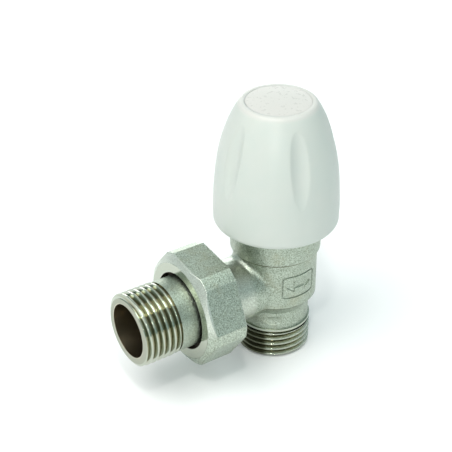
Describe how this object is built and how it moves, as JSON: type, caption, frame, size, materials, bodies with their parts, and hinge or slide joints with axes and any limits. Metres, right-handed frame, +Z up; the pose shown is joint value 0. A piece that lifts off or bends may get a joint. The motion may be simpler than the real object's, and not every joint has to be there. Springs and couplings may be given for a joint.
{
  "type": "lockshield valve",
  "caption": "Angle radiator lockshield valve in satin nickel with a tall white lift-off cap, a union nut and tailpiece to the side, and male pipe threads.",
  "frame": {"origin": "centre of the pipe thread's free end, on the spindle axis", "axes": "+Z up the spindle towards the cap, -X out along the radiator tailpiece"},
  "size_m": [0.0669, 0.0355, 0.0786],
  "materials": {
    "nickel_forged": "satin nickel plate over forged brass",
    "nickel_turned": "machined nickel plate",
    "brass_bare": "machined brass",
    "white_plastic": "fine satin white moulding",
    "nylon": "natural nylon",
    "rubber_black": "black rubber",
    "steel_spring": "bright stainless steel",
    "ptfe_white": "white low-friction plastic"
  },
  "bodies": {
    "valve_body": {"body_forging": "nickel_forged", "headwork": "brass_bare", "headwork_oring": "rubber_black", "gland_nut": "brass_bare", "gland_washer": "ptfe_white", "spindle_oring_lower": "rubber_black", "spindle_oring_upper": "rubber_black"},
    "clip_ring": {"cap_clip_ring": "nylon"},
    "cap": {"cap_shell": "white_plastic", "cap_top_disc": "white_plastic"},
    "shutter_group": {"shutter": "brass_bare", "seat_washer": "rubber_black", "seat_plate": "steel_spring", "seat_screw": "steel_spring"},
    "spindle_group": {"spindle": "brass_bare", "swivel_clip": "steel_spring", "thrust_washer": "ptfe_white"},
    "tail": {"tailpiece": "nickel_turned", "tail_oring": "rubber_black"},
    "nut": {"union_nut": "nickel_forged"}
  },
  "joints": [
    {"name": "cap_spin", "type": "hinge", "parent": "valve_body", "child": "clip_ring", "pos_m": [0, 0, 0.0505], "axis": [0, 0, 1], "continuous": true},
    {"name": "cap_lift", "type": "slide", "parent": "clip_ring", "child": "cap", "axis": [0, 0, 1], "range_m": [0, 0.04]},
    {"name": "shutter_lift", "type": "slide", "parent": "valve_body", "child": "shutter_group", "axis": [0, 0, 1], "range_m": [-0.00145, 0.0015]},
    {"name": "spindle_turn", "type": "hinge", "parent": "shutter_group", "child": "spindle_group", "pos_m": [0, 0, 0.04], "axis": [0, 0, 1], "range_deg": [-348.5, 360.5]},
    {"name": "tail_pull", "type": "slide", "parent": "valve_body", "child": "tail", "axis": [-1, 0, 0], "range_m": [0, 0.008]},
    {"name": "nut_turn", "type": "hinge", "parent": "tail", "child": "nut", "pos_m": [-0.0269, 0, 0.02245], "axis": [-1, 0, 0], "range_deg": [-1, 1589]}
  ],
  "couplings": [
    {"joint": "spindle_turn", "follows": "shutter_lift", "rad_per_m": 4188.8},
    {"joint": "nut_turn", "follows": "tail_pull", "rad_per_m": 3463.7}
  ]
}
